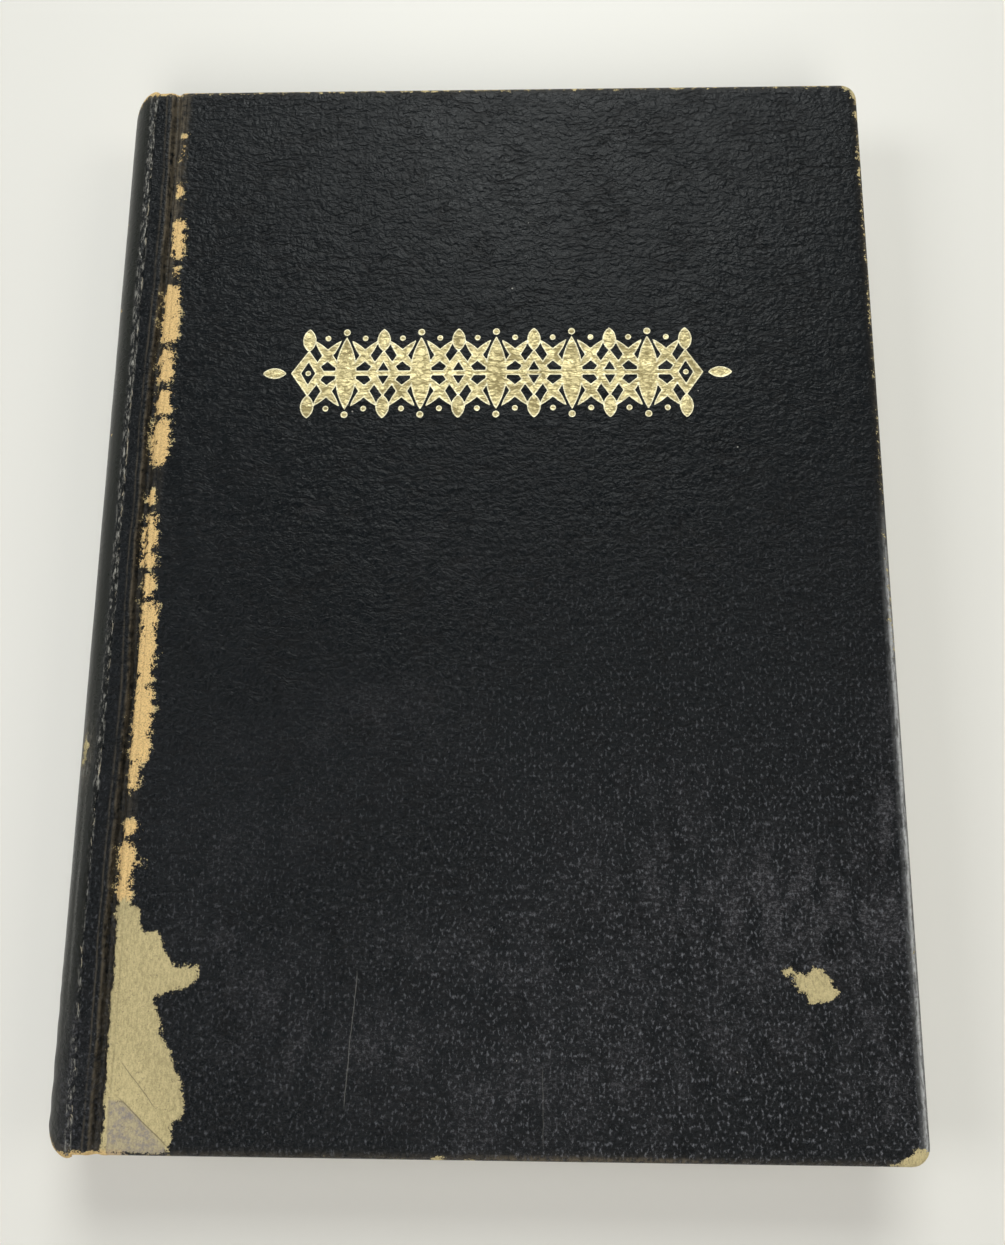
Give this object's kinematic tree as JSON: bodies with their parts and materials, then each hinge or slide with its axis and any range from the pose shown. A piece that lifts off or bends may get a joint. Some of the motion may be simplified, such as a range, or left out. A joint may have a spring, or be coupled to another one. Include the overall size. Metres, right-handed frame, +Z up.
{
  "type": "prayer book",
  "caption": "Pocket-size case-bound prayer book with a rounded spine, black imitation-leather covers and sewn gatherings that open flat.",
  "frame": {"origin": "middle of the bounding box, on the plane of the back cover's outer face that the book lies on", "axes": "+X from the spine to the fore edge, +Y from tail to head, +Z up out of the front cover"},
  "size_m": [0.108, 0.148, 0.014],
  "materials": {
    "leatherette": "black coated imitation leather, fine grain, worn to its tan backing at the edges",
    "greyboard": "dull grey-brown binder's board",
    "kraft_paper": "brown kraft paper",
    "page_paper": "thin cream paper, aged",
    "endpaper": "heavier cream endpaper",
    "mull": "open-weave starched cotton",
    "band_cloth": "woven cotton head band",
    "linen_thread": "waxed linen thread"
  },
  "bodies": {
    "text_block": {"gathering_07": "page_paper", "gathering_08": "page_paper", "gathering_09": "page_paper", "gathering_10": "page_paper", "gathering_11": "page_paper", "gathering_12": "page_paper", "mull": "mull", "spine_liner": "kraft_paper", "headband": "band_cloth", "tailband": "band_cloth", "sewing_thread_1": "linen_thread", "sewing_thread_2": "linen_thread", "sewing_thread_3": "linen_thread", "sewing_thread_4": "linen_thread"},
    "case_spine": {"spine_leatherette": "leatherette", "spine_inlay": "kraft_paper"},
    "front_cover": {"front_board": "greyboard", "front_leatherette": "leatherette", "front_pastedown": "endpaper"},
    "front_flyleaf": {"front_flyleaf": "endpaper"},
    "gathering_01": {"gathering_01": "page_paper"},
    "gathering_02": {"gathering_02": "page_paper"},
    "gathering_03": {"gathering_03": "page_paper"},
    "gathering_04": {"gathering_04": "page_paper"},
    "gathering_05": {"gathering_05": "page_paper"},
    "gathering_06": {"gathering_06": "page_paper"},
    "back_cover": {"back_board": "greyboard", "back_leatherette": "leatherette", "back_pastedown": "endpaper"},
    "back_flyleaf": {"back_flyleaf": "endpaper"}
  },
  "joints": [
    {"name": "case_spine_hinge", "type": "hinge", "parent": "text_block", "child": "case_spine", "pos_m": [-0.052, 0, 0.0002], "axis": [0, -1, 0], "range_deg": [0, 90], "deforming": ["mull", "spine_liner", "headband", "tailband", "sewing_thread_1", "sewing_thread_2", "sewing_thread_3", "sewing_thread_4"]},
    {"name": "front_cover_hinge", "type": "hinge", "parent": "case_spine", "child": "front_cover", "pos_m": [-0.052, 0, 0.0138], "axis": [0, -1, 0], "range_deg": [0, 90]},
    {"name": "front_flyleaf_hinge", "type": "hinge", "parent": "case_spine", "child": "front_flyleaf", "pos_m": [-0.052, 0, 0.0138], "axis": [0, -1, 0], "range_deg": [0, 90]},
    {"name": "gathering_01_hinge", "type": "hinge", "parent": "case_spine", "child": "gathering_01", "pos_m": [-0.052, 0, 0.0138], "axis": [0, -1, 0], "range_deg": [0, 90]},
    {"name": "gathering_02_hinge", "type": "hinge", "parent": "case_spine", "child": "gathering_02", "pos_m": [-0.052, 0, 0.0138], "axis": [0, -1, 0], "range_deg": [0, 90]},
    {"name": "gathering_03_hinge", "type": "hinge", "parent": "case_spine", "child": "gathering_03", "pos_m": [-0.052, 0, 0.0138], "axis": [0, -1, 0], "range_deg": [0, 90]},
    {"name": "gathering_04_hinge", "type": "hinge", "parent": "case_spine", "child": "gathering_04", "pos_m": [-0.052, 0, 0.0138], "axis": [0, -1, 0], "range_deg": [0, 90]},
    {"name": "gathering_05_hinge", "type": "hinge", "parent": "case_spine", "child": "gathering_05", "pos_m": [-0.052, 0, 0.0138], "axis": [0, -1, 0], "range_deg": [0, 90]},
    {"name": "gathering_06_hinge", "type": "hinge", "parent": "case_spine", "child": "gathering_06", "pos_m": [-0.052, 0, 0.0138], "axis": [0, -1, 0], "range_deg": [0, 90]},
    {"name": "back_cover_hinge", "type": "hinge", "parent": "text_block", "child": "back_cover", "pos_m": [-0.052, 0, -0.0015], "axis": [0, 1, 0], "range_deg": [0, 180]},
    {"name": "back_flyleaf_hinge", "type": "hinge", "parent": "text_block", "child": "back_flyleaf", "pos_m": [-0.0451, 0, 0.0033], "axis": [0, 1, 0], "range_deg": [0, 72]}
  ],
  "couplings": [
    {"joint": "case_spine_hinge", "follows": "front_cover_hinge", "ratio": 1},
    {"joint": "front_flyleaf_hinge", "follows": "front_cover_hinge", "ratio": 0.99},
    {"joint": "gathering_01_hinge", "follows": "front_cover_hinge", "ratio": 0.98},
    {"joint": "gathering_02_hinge", "follows": "front_cover_hinge", "ratio": 0.97},
    {"joint": "gathering_03_hinge", "follows": "front_cover_hinge", "ratio": 0.96},
    {"joint": "gathering_04_hinge", "follows": "front_cover_hinge", "ratio": 0.95},
    {"joint": "gathering_05_hinge", "follows": "front_cover_hinge", "ratio": 0.94},
    {"joint": "gathering_06_hinge", "follows": "front_cover_hinge", "ratio": 0.93},
    {"joint": "back_flyleaf_hinge", "follows": "back_cover_hinge", "ratio": 0.4}
  ]
}
